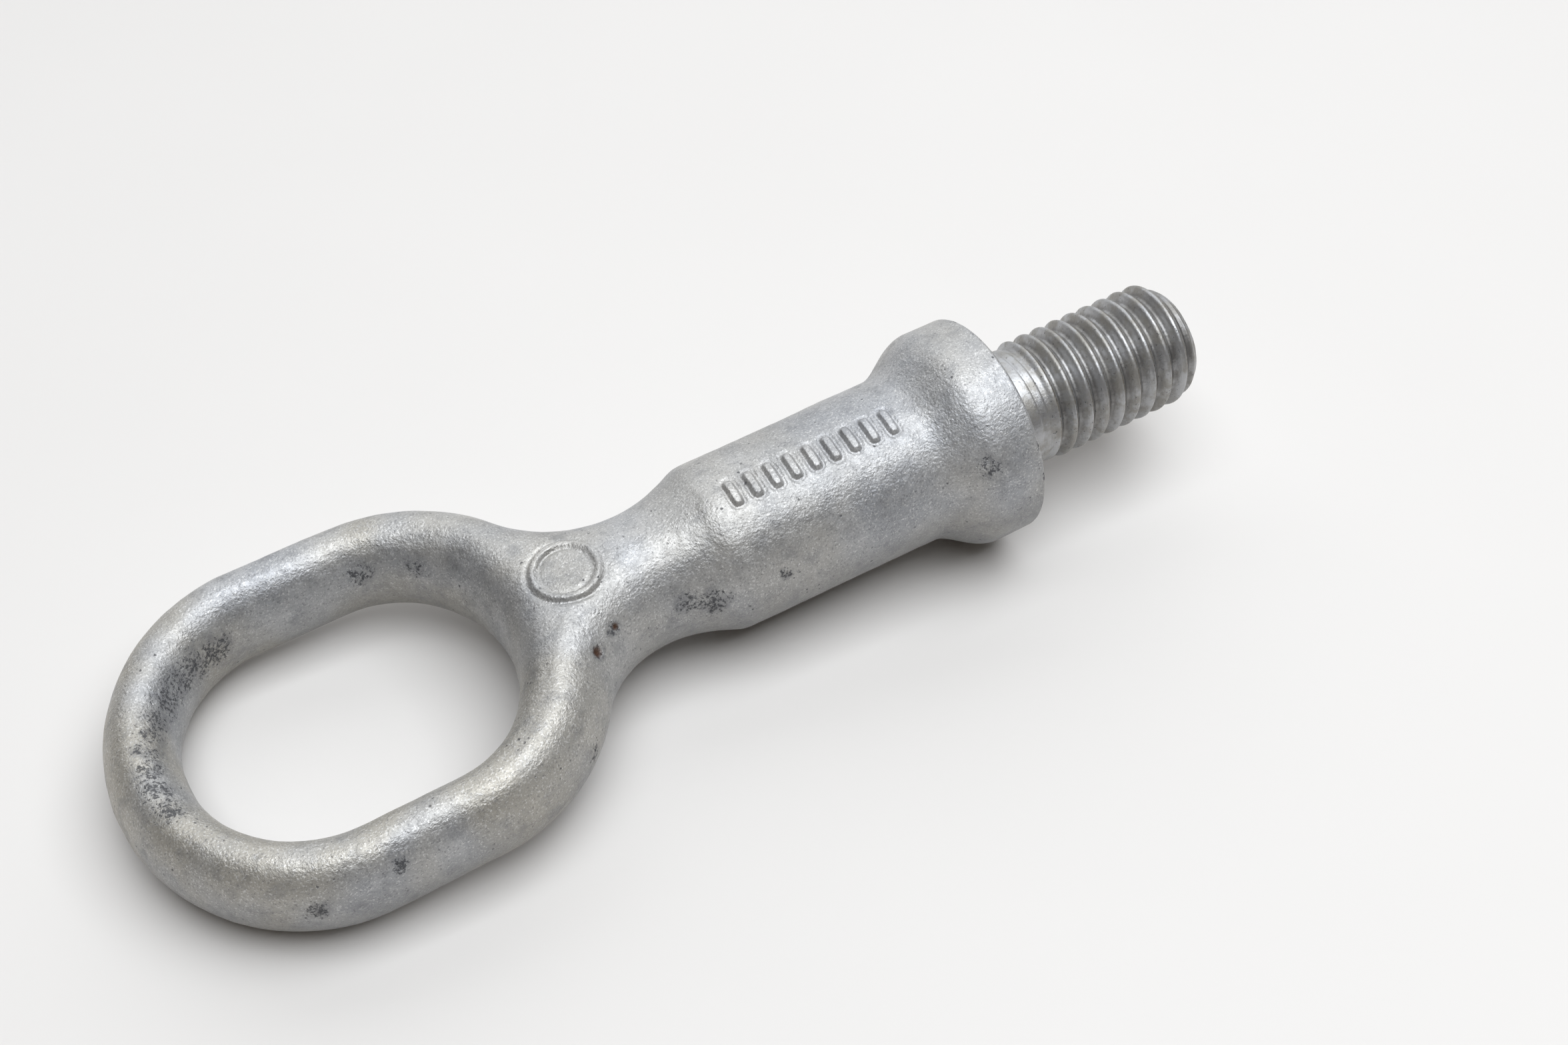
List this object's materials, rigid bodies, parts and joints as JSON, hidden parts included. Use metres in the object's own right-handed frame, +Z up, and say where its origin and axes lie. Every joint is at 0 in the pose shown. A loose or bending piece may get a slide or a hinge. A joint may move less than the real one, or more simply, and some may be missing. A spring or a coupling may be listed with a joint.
{
  "type": "screw-in towing eye bolt",
  "caption": "Forged eye bolt with an oval eye, a round barrel with a seating collar and a coarse left-hand thread, for screwing into a towing or lifting socket.",
  "frame": {"origin": "centre of the bounding box on the surface that the bolt lies on; the far end of the eye and the collar's rim both touch Z = 0", "axes": "+X along the bolt from the eye to the thread, +Z up, Y in the plane of the eye. The bolt's own axis climbs 4.27 degrees from +X towards +Z, because the collar is wider than the eye is deep"},
  "size_m": [0.176, 0.0596, 0.0353],
  "materials": {
    "as_forged_coated_steel": "as-forged, shot-blasted and silver-grey zinc-flake coated, fine grain",
    "rolled_thread_steel": "rolled thread with a thin silver-grey coat, satin"
  },
  "bodies": {
    "root": {"forged_eye_body": "as_forged_coated_steel", "threaded_shank": "rolled_thread_steel"}
  },
  "joints": []
}
